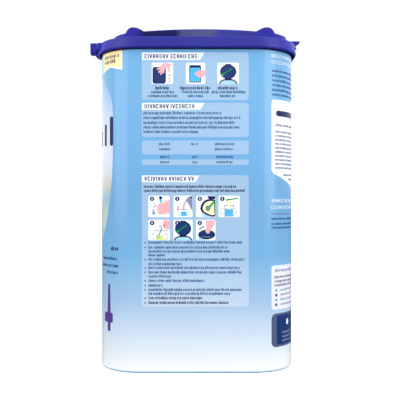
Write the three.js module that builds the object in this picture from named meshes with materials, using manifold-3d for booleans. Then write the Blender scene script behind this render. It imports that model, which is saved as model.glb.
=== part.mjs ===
// A shut flip-top pack for toddler formula powder: a straight-sided printed tub
// with round corners, a collar snapped over its mouth, and a hinged lid with a
// thumb tab in front, a hinge flange behind and four stacking lugs on top.
//
// Millimetres, +Z up. The origin is the middle of the base. The thumb tab points
// along -X and the hinge lies at +X.
import * as THREE from 'three';
import * as BufferGeometryUtils from 'three/addons/utils/BufferGeometryUtils.js';
import Module from 'manifold-3d';

// Play between two pieces that touch
const JOINT_GAP = 0.3;

// Driving sizes of the tub
const TUB_HALF = 55.8;
const TUB_CORNER = 24;
const TUB_TOP = 184;
const FOOT_ROUND = 1.2;

// Driving sizes of the collar, with its reach past the wall of the tub
const COLLAR_LOW_Z = 180.1;
const COLLAR_TOP_Z = 187;
const COLLAR_LOW_REACH = 2.1;
const COLLAR_TOP_REACH = 1.2;
const COLLAR_UNDER_ROUND = 1.6;
const COLLAR_EDGE_ROUND = 0.5;
const COLLAR_SHIFT = 0.3;
const COLLAR_STRETCH = 0.35;
const GUTTER_DEPTH = 1.2;
const GUTTER_REACH = 0.6;

// The two ledges of the collar under the ends of the thumb tab
const LEDGE_NEAR_Y = 25;
const LEDGE_FAR_Y = 34;
const LEDGE_REACH_X = 60.3;
const LEDGE_LOW_Z = 180.6;
const LEDGE_TOP_Z = 182;

// The two cheeks that square the collar's corners beside the thumb tab
const CHEEK_NEAR_Y = 33;
const CHEEK_FAR_Y = 42.2;
const CHEEK_REACH_X = 57.1;
const CHEEK_LOW_Z = 182.8;

// The hinge knuckle on the collar
const KNUCKLE_REACH_X = 61.2;
const KNUCKLE_MIDDLE_Z = 189.45;
const KNUCKLE_RADIUS = 0.9;
const KNUCKLE_HALF_WIDTH = 18;

// Driving sizes of the lid pad
const LID_SHIFT = 2.1;
const LID_HALF_X = 53.95;
const LID_HALF_Y = 47.15;
const LID_CORNER = 11.3;
const LID_BOW_X = 4.7;
const LID_BOW_Y = 9;
const LID_EDGE_Z = 193.2;
const LID_EDGE_ROUND = 1;
const LID_CROWN = 1;

// Driving sizes of the four stacking lugs, along X from the middle of the lid
const LUG_BASE_OUTER = 43.3;
const LUG_BASE_INNER = 24.5;
const LUG_PEAK = 38;
const LUG_TOP_Z = 194.8;
const LUG_FACE_Y = 46.2;
const LUG_DEPTH = 9;
const LUG_BEVEL = 0.8;

// Driving sizes of the arched thumb tab and of the lip that carries it
const TAB_REACH_X = 63.3;
const TAB_THICKNESS = 3.7;
const TAB_HALF_WIDTH = 30;
const TAB_LEG_WIDTH = 6;
const TAB_LOW_Z = 183.15;
const TAB_LEG_TOP_Z = 189.75;
const TAB_BRIDGE_TOP_Z = 191.8;
const TAB_ARCH_Z = 188.8;
const TAB_ARCH_HALF = 13.3;
const TAB_CORNER = 1.5;
const TAB_BEVEL = 0.6;
const LIP_HALF_WIDTH = 17;
const LIP_LOW_Z = 188.8;
const LIP_TOP_Z = 191.7;

// Driving sizes of the hinge flange
const FLANGE_REACH_X = 63.3;
const FLANGE_TOP_Z = 193.5;
const FLANGE_TIP_Z = 192.1;
const FLANGE_NOTCH_X = 60.5;
const FLANGE_NOTCH_Z = 190.9;
const FLANGE_HALF_WIDTH = 19;
const FLANGE_DENT_HALF = 13;
const FLANGE_DENT_X = 62.1;

// Steps along a quarter round corner, along a straight side and round a small edge
const CORNER_STEPS = 12;
const SIDE_STEPS = 6;
const EDGE_STEPS = 4;
const QUARTER = Math.PI / 2;

const wasm = await Module();
wasm.setup();

// A closed ring of points round a rectangle with round corners. The bows pull the
// ends of the sides back, so that their middles stand out. The sag lowers the
// corners under the middles of the sides.
function roundedRing({ halfX, halfY = halfX, corner, bowX = 0, bowY = 0, shiftX = 0, sag = 0, z }) {
  const centres = [
    [halfX - corner, halfY - corner],
    [corner - halfX, halfY - corner],
    [corner - halfX, corner - halfY],
    [halfX - corner, corner - halfY],
  ];
  const place = (x, y) => new THREE.Vector3(
    x * (1 - (bowX / halfX) * (y / halfY) ** 2) + shiftX,
    y * (1 - (bowY / halfY) * (x / halfX) ** 2),
    z - (sag / 2) * ((x / halfX) ** 2 + (y / halfY) ** 2),
  );
  const ring = [];
  centres.forEach(([cx, cy], index) => {
    for (let step = 0; step <= CORNER_STEPS; step += 1) {
      const angle = QUARTER * (index + step / CORNER_STEPS);
      ring.push(place(cx + corner * Math.cos(angle), cy + corner * Math.sin(angle)));
    }
    const [nextX, nextY] = centres[(index + 1) % 4];
    const angle = QUARTER * (index + 1);
    for (let step = 1; step < SIDE_STEPS; step += 1) {
      const t = step / SIDE_STEPS;
      const x = cx + (nextX - cx) * t + corner * Math.cos(angle);
      const y = cy + (nextY - cy) * t + corner * Math.sin(angle);
      ring.push(place(x, y));
    }
  });
  return ring;
}

// A closed body through rings of equal length, from the bottom middle outwards,
// up the side and back in to the top middle.
function loftRings(rings) {
  const count = rings[0].length;
  const middleOf = (ring) => {
    const middle = new THREE.Vector3();
    ring.forEach((point) => middle.add(point));
    return middle.divideScalar(count);
  };
  const vertices = [middleOf(rings[0]), ...rings.flat(), middleOf(rings[rings.length - 1])];
  const last = vertices.length - 1;
  const topStart = 1 + (rings.length - 1) * count;
  const indices = [];
  for (let i = 0; i < count; i += 1) {
    const next = (i + 1) % count;
    indices.push(0, 1 + next, 1 + i);
    for (let r = 0; r + 1 < rings.length; r += 1) {
      const low = 1 + r * count;
      const high = low + count;
      indices.push(low + i, low + next, high + next);
      indices.push(low + i, high + next, high + i);
    }
    indices.push(last, topStart + i, topStart + next);
  }
  const geometry = new THREE.BufferGeometry();
  const flat = vertices.flatMap((vertex) => [vertex.x, vertex.y, vertex.z]);
  geometry.setAttribute('position', new THREE.Float32BufferAttribute(flat, 3));
  geometry.setIndex(indices);
  return geometry;
}

function toSolid(geometry) {
  const bare = geometry.clone();
  bare.deleteAttribute('normal');
  bare.deleteAttribute('uv');
  const merged = BufferGeometryUtils.mergeVertices(bare, 1e-4);
  return new wasm.Manifold(new wasm.Mesh({
    numProp: 3,
    vertProperties: new Float32Array(merged.attributes.position.array),
    triVerts: new Uint32Array(merged.index.array),
  }));
}

function toGeometry(solid) {
  const mesh = solid.getMesh();
  const geometry = new THREE.BufferGeometry();
  const places = new Float32Array(mesh.vertProperties);
  geometry.setAttribute('position', new THREE.BufferAttribute(places, 3));
  geometry.setIndex(new THREE.BufferAttribute(new Uint32Array(mesh.triVerts), 1));
  geometry.computeVertexNormals();
  return geometry;
}

// A slab with bevelled ends: the outline lies in the XZ plane, the slab runs along Y.
function slabAlongY(outline, fromY, toY, bevel) {
  const geometry = new THREE.ExtrudeGeometry(outline, {
    depth: toY - fromY - 2 * bevel,
    bevelEnabled: true,
    bevelThickness: bevel,
    bevelSize: bevel,
    bevelOffset: -bevel,
    bevelSegments: 3,
    curveSegments: 6,
  });
  geometry.rotateX(QUARTER);
  geometry.translate(0, toY - bevel, 0);
  return toSolid(geometry);
}

function outlineOf(points) {
  return new THREE.Shape(points.map(([x, z]) => new THREE.Vector2(x, z)));
}

// Straight walls over a small round edge at the foot.
function makeTub() {
  const ring = (inset, z) => roundedRing({ halfX: TUB_HALF - inset, corner: TUB_CORNER - inset, z });
  const rings = [];
  for (let step = 0; step <= EDGE_STEPS; step += 1) {
    const angle = (QUARTER * step) / EDGE_STEPS;
    rings.push(ring(FOOT_ROUND * (1 - Math.sin(angle)), FOOT_ROUND * (1 - Math.cos(angle))));
  }
  rings.push(ring(0, TUB_TOP));
  return loftRings(rings);
}

function lidRing(inset, z, sag = 0) {
  const scale = 1 - inset / LID_HALF_X;
  return roundedRing({
    halfX: LID_HALF_X - inset,
    halfY: LID_HALF_Y - inset,
    corner: Math.max(3, LID_CORNER - inset),
    bowX: LID_BOW_X * Math.min(1, scale),
    bowY: LID_BOW_Y * Math.min(1, scale),
    shiftX: LID_SHIFT,
    sag: sag * scale ** 2,
    z,
  });
}

// A cap whose skirt hangs a little way over the tub, with a shallow gutter on top
// for the foot of the lid, two ledges and two cheeks in front and the hinge knuckle
// behind. Its outer wall stands a little further out on the hinge side.
function makeCollar() {
  const ring = (reach, z) => roundedRing({
    halfX: TUB_HALF + reach + COLLAR_STRETCH,
    halfY: TUB_HALF + reach,
    corner: TUB_CORNER + reach,
    shiftX: COLLAR_SHIFT,
    z,
  });
  const innerRing = (z) => roundedRing({
    halfX: TUB_HALF + JOINT_GAP,
    corner: TUB_CORNER + JOINT_GAP,
    z,
  });
  const rings = [
    innerRing(TUB_TOP + JOINT_GAP),
    innerRing(COLLAR_LOW_Z),
  ];
  for (let step = 0; step <= EDGE_STEPS; step += 1) {
    const angle = (QUARTER * step) / EDGE_STEPS;
    const inset = COLLAR_UNDER_ROUND * (1 - Math.sin(angle));
    const rise = COLLAR_UNDER_ROUND * (1 - Math.cos(angle));
    rings.push(ring(COLLAR_LOW_REACH - inset, COLLAR_LOW_Z + rise));
  }
  for (let step = 0; step <= EDGE_STEPS; step += 1) {
    const angle = (QUARTER * step) / EDGE_STEPS;
    const inset = COLLAR_EDGE_ROUND * (1 - Math.cos(angle));
    const drop = COLLAR_EDGE_ROUND * (1 - Math.sin(angle));
    rings.push(ring(COLLAR_TOP_REACH - inset, COLLAR_TOP_Z - drop));
  }
  rings.push(lidRing(-GUTTER_REACH, COLLAR_TOP_Z));
  rings.push(lidRing(-GUTTER_REACH, COLLAR_TOP_Z - GUTTER_DEPTH));
  let collar = toSolid(loftRings(rings));

  const wallX = TUB_HALF + JOINT_GAP + 0.3;
  const ledge = outlineOf([
    [-wallX, LEDGE_LOW_Z + 0.2],
    [-wallX, LEDGE_TOP_Z],
    [-LEDGE_REACH_X, LEDGE_TOP_Z],
    [-LEDGE_REACH_X + 1, LEDGE_LOW_Z + 0.5],
    [-LEDGE_REACH_X + 2.4, LEDGE_LOW_Z],
  ].reverse());
  collar = collar.add(slabAlongY(ledge, -LEDGE_FAR_Y, -LEDGE_NEAR_Y, 0.25));
  collar = collar.add(slabAlongY(ledge, LEDGE_NEAR_Y, LEDGE_FAR_Y, 0.25));

  const cheek = outlineOf([
    [-CHEEK_REACH_X + 7, CHEEK_LOW_Z],
    [-CHEEK_REACH_X + 7, COLLAR_TOP_Z],
    [-CHEEK_REACH_X, COLLAR_TOP_Z],
    [-CHEEK_REACH_X - 0.3, CHEEK_LOW_Z],
  ].reverse());
  const room = toSolid(loftRings([
    innerRing(CHEEK_LOW_Z - 5),
    innerRing(TUB_TOP + JOINT_GAP),
  ]));
  collar = collar.add(slabAlongY(cheek, -CHEEK_FAR_Y, -CHEEK_NEAR_Y, 0.3).subtract(room));
  collar = collar.add(slabAlongY(cheek, CHEEK_NEAR_Y, CHEEK_FAR_Y, 0.3).subtract(room));

  const tip = [];
  for (let step = 0; step <= 6; step += 1) {
    const angle = -QUARTER * 0.75 + (QUARTER * 1.9 * step) / 6;
    tip.push([
      KNUCKLE_REACH_X - KNUCKLE_RADIUS + KNUCKLE_RADIUS * Math.cos(angle),
      KNUCKLE_MIDDLE_Z + KNUCKLE_RADIUS * Math.sin(angle),
    ]);
  }
  const knuckle = outlineOf([
    [TUB_HALF + 0.9, COLLAR_TOP_Z - 1],
    [TUB_HALF + COLLAR_TOP_REACH + 1, COLLAR_TOP_Z - 1],
    ...tip,
    [TUB_HALF + 1.8, COLLAR_TOP_Z + 2],
    [TUB_HALF + 0.9, COLLAR_TOP_Z + 0.9],
  ]);
  return toGeometry(collar.add(slabAlongY(knuckle, -KNUCKLE_HALF_WIDTH, KNUCKLE_HALF_WIDTH, 0.3)));
}

// The raised pad of the lid, with a round edge and a crowned top.
function makePad() {
  const rings = [lidRing(0, COLLAR_TOP_Z - GUTTER_DEPTH + JOINT_GAP)];
  const crest = LID_EDGE_Z + LID_CROWN;
  for (let step = 0; step <= EDGE_STEPS; step += 1) {
    const angle = (QUARTER * step) / EDGE_STEPS;
    const inset = LID_EDGE_ROUND * (1 - Math.cos(angle));
    const drop = LID_EDGE_ROUND * (1 - Math.sin(angle));
    rings.push(lidRing(inset, crest - drop, LID_CROWN));
  }
  const crownReach = LID_HALF_Y - LID_EDGE_ROUND - 8;
  for (let step = 1; step <= 3; step += 1) {
    rings.push(lidRing(LID_EDGE_ROUND + (crownReach * step) / 3, crest, LID_CROWN));
  }
  return toSolid(loftRings(rings));
}

// A stacking lug: a smooth hump, steep on its outer side and falling gently towards
// the middle, where its face runs out into the wall of the pad.
function makeLug(sideX, sideY) {
  const low = COLLAR_TOP_Z + JOINT_GAP;
  const outline = new THREE.Shape();
  outline.moveTo(LUG_BASE_INNER, low);
  outline.lineTo(LUG_BASE_OUTER, low);
  outline.bezierCurveTo(
    LUG_BASE_OUTER - 0.4, LUG_TOP_Z - 2.3,
    LUG_PEAK + 3.2, LUG_TOP_Z,
    LUG_PEAK, LUG_TOP_Z,
  );
  outline.bezierCurveTo(
    LUG_PEAK - 3.2, LUG_TOP_Z,
    LUG_BASE_INNER + 7.4, low + 5,
    LUG_BASE_INNER, low,
  );
  const lug = slabAlongY(outline, LUG_FACE_Y - LUG_DEPTH, LUG_FACE_Y, LUG_BEVEL);
  const turned = sideX > 0 ? lug : lug.mirror([1, 0, 0]);
  const placed = sideY > 0 ? turned : turned.mirror([0, 1, 0]);
  return placed.translate([LID_SHIFT, 0, 0]);
}

// The arched plate that the thumb lifts, standing clear of the collar.
function makeTab() {
  const inner = TAB_HALF_WIDTH - TAB_LEG_WIDTH;
  const low = TAB_LOW_Z;
  const r = TAB_CORNER;
  const face = new THREE.Shape();
  face.moveTo(-TAB_HALF_WIDTH, low + r);
  face.quadraticCurveTo(-TAB_HALF_WIDTH, low, -TAB_HALF_WIDTH + r, low);
  face.lineTo(-inner - r, low);
  face.quadraticCurveTo(-inner, low, -inner, low + r);
  face.bezierCurveTo(-inner, TAB_ARCH_Z - 1.4, -inner + 3.5, TAB_ARCH_Z, -TAB_ARCH_HALF, TAB_ARCH_Z);
  face.lineTo(TAB_ARCH_HALF, TAB_ARCH_Z);
  face.bezierCurveTo(inner - 3.5, TAB_ARCH_Z, inner, TAB_ARCH_Z - 1.4, inner, low + r);
  face.quadraticCurveTo(inner, low, inner + r, low);
  face.lineTo(TAB_HALF_WIDTH - r, low);
  face.quadraticCurveTo(TAB_HALF_WIDTH, low, TAB_HALF_WIDTH, low + r);
  face.lineTo(TAB_HALF_WIDTH, TAB_LEG_TOP_Z - r);
  face.quadraticCurveTo(TAB_HALF_WIDTH, TAB_LEG_TOP_Z, TAB_HALF_WIDTH - r, TAB_LEG_TOP_Z);
  face.bezierCurveTo(inner, TAB_LEG_TOP_Z + 0.6, inner, TAB_BRIDGE_TOP_Z, LIP_HALF_WIDTH, TAB_BRIDGE_TOP_Z);
  face.lineTo(-LIP_HALF_WIDTH, TAB_BRIDGE_TOP_Z);
  face.bezierCurveTo(
    -inner, TAB_BRIDGE_TOP_Z,
    -inner, TAB_LEG_TOP_Z + 0.6,
    -TAB_HALF_WIDTH + r, TAB_LEG_TOP_Z,
  );
  face.quadraticCurveTo(-TAB_HALF_WIDTH, TAB_LEG_TOP_Z, -TAB_HALF_WIDTH, TAB_LEG_TOP_Z - r);
  face.closePath();
  const geometry = new THREE.ExtrudeGeometry(face, {
    depth: TAB_THICKNESS - 2 * TAB_BEVEL,
    bevelEnabled: true,
    bevelThickness: TAB_BEVEL,
    bevelSize: TAB_BEVEL,
    bevelOffset: -TAB_BEVEL,
    bevelSegments: 2,
    curveSegments: 6,
  });
  geometry.rotateX(QUARTER);
  geometry.rotateZ(QUARTER);
  geometry.translate(-TAB_REACH_X + TAB_BEVEL, 0, 0);
  return toSolid(geometry);
}

// The lip between the pad and the thumb tab.
function makeLip() {
  const lip = outlineOf([
    [-TAB_REACH_X + 1.2, LIP_LOW_Z],
    [LID_SHIFT - LID_HALF_X + 6, LIP_LOW_Z],
    [LID_SHIFT - LID_HALF_X + 6, LIP_TOP_Z],
    [-TAB_REACH_X + 1.2, LIP_TOP_Z],
  ]);
  return slabAlongY(lip, -LIP_HALF_WIDTH, LIP_HALF_WIDTH, 0.4);
}

// The flange over the hinge: flat on top, its tip a thin wedge over a notch, with
// a dent in the middle of its edge.
function makeFlange() {
  const rootX = LID_SHIFT + LID_HALF_X - 6;
  const outline = outlineOf([
    [rootX, COLLAR_TOP_Z + 2.2],
    [TUB_HALF + 0.2, COLLAR_TOP_Z + 2.2],
    [FLANGE_NOTCH_X, FLANGE_NOTCH_Z],
    [FLANGE_REACH_X - 0.6, FLANGE_TIP_Z],
    [FLANGE_REACH_X, FLANGE_TOP_Z - 0.3],
    [FLANGE_REACH_X - 0.3, FLANGE_TOP_Z],
    [rootX, FLANGE_TOP_Z],
  ]);
  const flange = slabAlongY(outline, -FLANGE_HALF_WIDTH, FLANGE_HALF_WIDTH, 0.3);
  const dent = new THREE.Shape([
    new THREE.Vector2(FLANGE_DENT_X, -FLANGE_DENT_HALF),
    new THREE.Vector2(FLANGE_REACH_X + 2, -FLANGE_DENT_HALF - 3),
    new THREE.Vector2(FLANGE_REACH_X + 2, FLANGE_DENT_HALF + 3),
    new THREE.Vector2(FLANGE_DENT_X, FLANGE_DENT_HALF),
  ]);
  const cutter = new THREE.ExtrudeGeometry(dent, { depth: 20, bevelEnabled: false });
  cutter.translate(0, 0, COLLAR_TOP_Z - 5);
  return flange.subtract(toSolid(cutter));
}

function makeLid() {
  let lid = makePad();
  for (const sideX of [-1, 1]) {
    for (const sideY of [-1, 1]) {
      lid = lid.add(makeLug(sideX, sideY));
    }
  }
  return toGeometry(lid.add(makeLip()).add(makeTab()).add(makeFlange()));
}

function namedMesh(name, geometry, color) {
  const material = new THREE.MeshStandardMaterial({ color, roughness: 0.35, metalness: 0 });
  const mesh = new THREE.Mesh(geometry, material);
  mesh.name = name;
  return mesh;
}

const pack = new THREE.Group();
pack.add(namedMesh('tub', makeTub(), 0x7db8e8));
pack.add(namedMesh('collar', makeCollar(), 0x3a3a97));
pack.add(namedMesh('lid', makeLid(), 0x35358c));

export default pack;
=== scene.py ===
"""The looks of a shut flip-top pack of toddler formula: a printed light blue tub with a
violet blue collar and lid. All sizes below are in millimetres, and MM turns them into metres."""

import math
import random

import bmesh
import bpy
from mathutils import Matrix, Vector


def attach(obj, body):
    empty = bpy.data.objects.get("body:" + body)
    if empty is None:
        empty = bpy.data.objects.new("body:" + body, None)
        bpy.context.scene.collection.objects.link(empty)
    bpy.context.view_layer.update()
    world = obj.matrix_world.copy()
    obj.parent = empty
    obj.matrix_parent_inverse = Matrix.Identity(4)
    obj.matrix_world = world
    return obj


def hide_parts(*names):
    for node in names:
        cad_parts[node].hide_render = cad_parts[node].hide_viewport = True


MM = 0.001
QUARTER = math.pi / 2

# Sizes of the solids, as in the part's source
JOINT_GAP = 0.3
TUB_HALF = 55.8
TUB_CORNER = 24.0
TUB_TOP = 184.0
FOOT_ROUND = 1.2
COLLAR_LOW_Z = 180.1
COLLAR_TOP_Z = 187.0
COLLAR_LOW_REACH = 2.1
COLLAR_TOP_REACH = 1.2
COLLAR_UNDER_ROUND = 1.6
COLLAR_EDGE_ROUND = 0.5
COLLAR_SHIFT = 0.3
COLLAR_STRETCH = 0.35
GUTTER_DEPTH = 1.2
GUTTER_REACH = 0.6
LEDGE_NEAR_Y = 25.0
LEDGE_FAR_Y = 34.0
LEDGE_REACH_X = 60.3
LEDGE_LOW_Z = 180.6
LEDGE_TOP_Z = 182.0
CHEEK_NEAR_Y = 33.0
CHEEK_FAR_Y = 42.2
CHEEK_REACH_X = 57.1
CHEEK_LOW_Z = 182.8
KNUCKLE_REACH_X = 61.2
KNUCKLE_MIDDLE_Z = 189.45
KNUCKLE_RADIUS = 0.9
KNUCKLE_HALF_WIDTH = 18.0
LID_SHIFT = 2.1
LID_HALF_X = 53.95
LID_HALF_Y = 47.15
LID_CORNER = 11.3
LID_BOW_X = 4.7
LID_BOW_Y = 9.0
LID_EDGE_Z = 193.2
LID_EDGE_ROUND = 1.0
LID_CROWN = 1.0
LUG_BASE_OUTER = 43.3
LUG_BASE_INNER = 24.5
LUG_PEAK = 38.0
LUG_TOP_Z = 194.8
LUG_FACE_Y = 46.2
LUG_DEPTH = 9.0
LUG_BEVEL = 0.8
TAB_REACH_X = 63.3
TAB_THICKNESS = 3.7
TAB_HALF_WIDTH = 30.0
TAB_LEG_WIDTH = 6.0
TAB_LOW_Z = 183.15
TAB_LEG_TOP_Z = 189.75
TAB_BRIDGE_TOP_Z = 191.8
TAB_ARCH_Z = 188.8
TAB_ARCH_HALF = 13.3
TAB_CORNER = 1.5
TAB_BEVEL = 0.6
LIP_HALF_WIDTH = 17.0
LIP_LOW_Z = 188.8
LIP_TOP_Z = 191.7
FLANGE_REACH_X = 63.3
FLANGE_TOP_Z = 193.5
FLANGE_TIP_Z = 192.1
FLANGE_NOTCH_X = 60.5
FLANGE_NOTCH_Z = 190.9
FLANGE_HALF_WIDTH = 19.0
FLANGE_DENT_HALF = 13.0
FLANGE_DENT_X = 62.1

# Fineness of the meshes
CORNER_STEPS = 40
SIDE_STEPS = 10
EDGE_STEPS = 6
SMOOTH_ANGLE = math.radians(32)

# The camera of the photograph: level, in front of the near side, at half the pack's height
CAMERA_X = 2.0
CAMERA_HEIGHT = 96.3
CAMERA_DISTANCE = 361.0
CAMERA_LENS = 58.5
SENSOR = 36.0

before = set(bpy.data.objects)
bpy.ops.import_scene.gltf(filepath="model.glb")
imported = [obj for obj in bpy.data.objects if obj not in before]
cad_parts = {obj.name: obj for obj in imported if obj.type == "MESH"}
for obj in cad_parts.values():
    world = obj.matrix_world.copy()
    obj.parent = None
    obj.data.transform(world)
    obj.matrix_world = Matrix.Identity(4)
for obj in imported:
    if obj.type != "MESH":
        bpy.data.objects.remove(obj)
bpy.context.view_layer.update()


def srgb(code):
    """A colour of the print, written as on a screen, in linear light."""
    parts = [int(code[i:i + 2], 16) / 255 for i in (0, 2, 4)]
    return tuple(c / 12.92 if c <= 0.04045 else ((c + 0.055) / 1.055) ** 2.4 for c in parts) + (1.0,)


# Meshes

def new_piece(bm, name, material):
    """Links a bmesh to the scene."""
    mesh = bpy.data.meshes.new(name)
    bm.to_mesh(mesh)
    bm.free()
    mesh.materials.append(material)
    piece = bpy.data.objects.new(name, mesh)
    bpy.context.scene.collection.objects.link(piece)
    return piece


def finish_mesh(bm, name, material, angle=SMOOTH_ANGLE):
    """Turns a bmesh in millimetres into a piece that rides on the pack."""
    bmesh.ops.recalc_face_normals(bm, faces=bm.faces)
    for vertex in bm.verts:
        vertex.co *= MM
    piece = new_piece(bm, name, material)
    mesh = piece.data
    mesh.polygons.foreach_set("use_smooth", [True] * len(mesh.polygons))
    mesh.set_sharp_from_angle(angle=angle)
    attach(piece, "root")
    return piece


def rounded_ring(half_x, half_y, corner, z, bow_x=0.0, bow_y=0.0, shift=0.0, sag=0.0):
    """Points round a rectangle with round corners. The bows pull the ends of the sides back,
    and the sag lowers the corners."""
    mid_x, mid_y = half_x - corner, half_y - corner
    centres = [(mid_x, mid_y), (-mid_x, mid_y), (-mid_x, -mid_y), (mid_x, -mid_y)]

    def place(x, y):
        return Vector((
            x * (1 - bow_x / half_x * (y / half_y) ** 2) + shift,
            y * (1 - bow_y / half_y * (x / half_x) ** 2),
            z - sag / 2 * ((x / half_x) ** 2 + (y / half_y) ** 2),
        ))

    ring = []
    for index, (cx, cy) in enumerate(centres):
        for step in range(CORNER_STEPS + 1):
            angle = QUARTER * (index + step / CORNER_STEPS)
            ring.append(place(cx + corner * math.cos(angle), cy + corner * math.sin(angle)))
        next_x, next_y = centres[(index + 1) % 4]
        angle = QUARTER * (index + 1)
        for step in range(1, SIDE_STEPS):
            t = step / SIDE_STEPS
            ring.append(place(
                cx + (next_x - cx) * t + corner * math.cos(angle),
                cy + (next_y - cy) * t + corner * math.sin(angle),
            ))
    return ring


def skin(bm, rings):
    """Faces between closed rows of points of equal length. Returns the rows of vertices."""
    rows = [[bm.verts.new(point) for point in ring] for ring in rings]
    count = len(rings[0])
    for low, high in zip(rows, rows[1:]):
        for i in range(count):
            j = (i + 1) % count
            bm.faces.new((low[i], low[j], high[j], high[i]))
    return rows


def loft(rings):
    """A closed body through rings of equal length, from the bottom middle round to the top middle."""
    bm = bmesh.new()
    rows = skin(bm, rings)
    count = len(rings[0])
    for row in (rows[0], rows[-1]):
        middle = bm.verts.new(sum((v.co for v in row), Vector()) / count)
        for i in range(count):
            bm.faces.new((row[i], row[(i + 1) % count], middle))
    return bm


def quarter_round(radius):
    """Steps (inwards from the outer wall, up from the start) of a small round edge that starts level."""
    for step in range(EDGE_STEPS + 1):
        angle = QUARTER * step / EDGE_STEPS
        yield radius * (1 - math.sin(angle)), radius * (1 - math.cos(angle))


def slab(outline, place, low, high, bevel, segments=3):
    """A closed plate with an outline of (a, b) points between two depths, its rims rounded."""
    bm = bmesh.new()
    bottom = [bm.verts.new(place(a, b, low)) for a, b in outline]
    top = [bm.verts.new(place(a, b, high)) for a, b in outline]
    caps = [bm.faces.new(bottom), bm.faces.new(list(reversed(top)))]
    count = len(outline)
    for i in range(count):
        j = (i + 1) % count
        bm.faces.new((bottom[i], top[i], top[j], bottom[j]))
    if bevel:
        rims = {edge for cap in caps for edge in cap.edges}
        bmesh.ops.bevel(
            bm, geom=list(rims), offset=bevel, segments=segments, profile=0.5,
            affect="EDGES", clamp_overlap=True,
        )
    return bm


def along_y(a, b, depth):
    """Places an outline that lies in the XZ plane."""
    return Vector((a, depth, b))


def along_x(a, b, depth):
    """Places an outline that lies in the YZ plane."""
    return Vector((depth, a, b))


def bezier(p0, p1, p2, p3, steps=10):
    """Points of a curve, without its first."""
    for step in range(1, steps + 1):
        t = step / steps
        u = 1 - t
        yield tuple(
            u ** 3 * a + 3 * u * u * t * b + 3 * u * t * t * c + t ** 3 * d
            for a, b, c, d in zip(p0, p1, p2, p3)
        )


def merge(target, *others):
    """Adds other bmeshes to the first one."""
    for other in others:
        scratch = bpy.data.meshes.new("scratch")
        other.to_mesh(scratch)
        other.free()
        target.from_mesh(scratch)
        bpy.data.meshes.remove(scratch)
    return target


# Materials

WHITE = (1.0, 1.0, 1.0, 1.0)


def put(node, values):
    """Sets inputs of a node by name."""
    for name, value in values.items():
        node.inputs[name].default_value = value


class Nodes:
    """A short way to write node trees."""

    def __init__(self, name):
        self.material = bpy.data.materials.new(name)
        self.material.use_nodes = True
        self.tree = self.material.node_tree
        self.shader = self.tree.nodes["Principled BSDF"]

    def add(self, kind, **values):
        node = self.tree.nodes.new(kind)
        for key, value in values.items():
            setattr(node, key, value)
        return node

    def join(self, source, target):
        self.tree.links.new(source, target)

    def feed(self, colour, socket):
        """Sets a colour, or joins the node that gives it."""
        if isinstance(colour, tuple):
            socket.default_value = colour
        else:
            self.join(colour, socket)

    def place(self):
        return self.add("ShaderNodeTexCoord").outputs["Object"]

    def noise(self, scale, detail=2.0):
        node = self.add("ShaderNodeTexNoise")
        put(node, {"Scale": scale, "Detail": detail, "Roughness": 0.5})
        self.join(self.place(), node.inputs["Vector"])
        return node.outputs["Fac"]

    def spread(self, source, low, high):
        """Maps the middle of a noise to a range of values."""
        node = self.add("ShaderNodeMapRange")
        put(node, {"From Min": 0.3, "From Max": 0.7, "To Min": low, "To Max": high})
        self.join(source, node.inputs["Value"])
        return node.outputs["Result"]

    def paint(self, colour, low, high, scale):
        """Gives the surface a colour whose brightness drifts a little."""
        mix = self.add("ShaderNodeMix", data_type="RGBA", blend_type="MULTIPLY")
        mix.inputs["Factor"].default_value = 1.0
        self.feed(colour, mix.inputs["A"])
        drift = self.spread(self.noise(scale), low, high)
        grey = self.add("ShaderNodeCombineColor")
        for channel in ("Red", "Green", "Blue"):
            self.join(drift, grey.inputs[channel])
        self.join(grey.outputs["Color"], mix.inputs["B"])
        self.join(mix.outputs["Result"], self.shader.inputs["Base Color"])

    def along(self, axis):
        """The place on an axis."""
        split = self.add("ShaderNodeSeparateXYZ")
        self.join(self.place(), split.inputs["Vector"])
        return split.outputs[axis]

    def reckon(self, operation, source, number=0.0):
        """A sum with a source and a number."""
        node = self.add("ShaderNodeMath", operation=operation)
        node.inputs[1].default_value = number
        self.join(source, node.inputs[0])
        return node.outputs["Value"]

    def steps(self, source, low, high):
        """0 at the low value of a place, 1 at the high one, in millimetres."""
        node = self.add("ShaderNodeMapRange")
        put(node, {"From Min": low * MM, "From Max": high * MM})
        self.join(source, node.inputs["Value"])
        return node.outputs["Result"]

    def level(self, axis, low, high):
        """0 at the low place on an axis, 1 at the high one."""
        return self.steps(self.along(axis), low, high)

    def blend(self, first, second, factor):
        """Goes from the first colour to the second."""
        mix = self.add("ShaderNodeMix", data_type="RGBA")
        self.join(factor, mix.inputs["Factor"])
        self.feed(first, mix.inputs["A"])
        self.feed(second, mix.inputs["B"])
        return mix.outputs["Result"]

    def bump(self, height, strength, distance):
        node = self.add("ShaderNodeBump")
        put(node, {"Strength": strength, "Distance": distance})
        self.join(height, node.inputs["Height"])
        self.join(node.outputs["Normal"], self.shader.inputs["Normal"])

    def ramp(self, source, stops, interpolation="LINEAR"):
        """Colours between stops, each (place from 0 to 1, colour)."""
        node = self.add("ShaderNodeValToRGB")
        node.color_ramp.interpolation = interpolation
        elements = node.color_ramp.elements
        while len(elements) < len(stops):
            elements.new(0.5)
        for element, (place, colour) in zip(elements, stops):
            element.position = place
            element.color = colour
        self.join(source, node.inputs["Fac"])
        return node.outputs["Color"]

    def height_ramp(self, stops):
        """Colours by height: stops are (z in millimetres, colour)."""
        level = self.reckon("DIVIDE", self.along("Z"), TUB_TOP * MM)
        return self.ramp(level, [(z / TUB_TOP, colour) for z, colour in stops])


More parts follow.
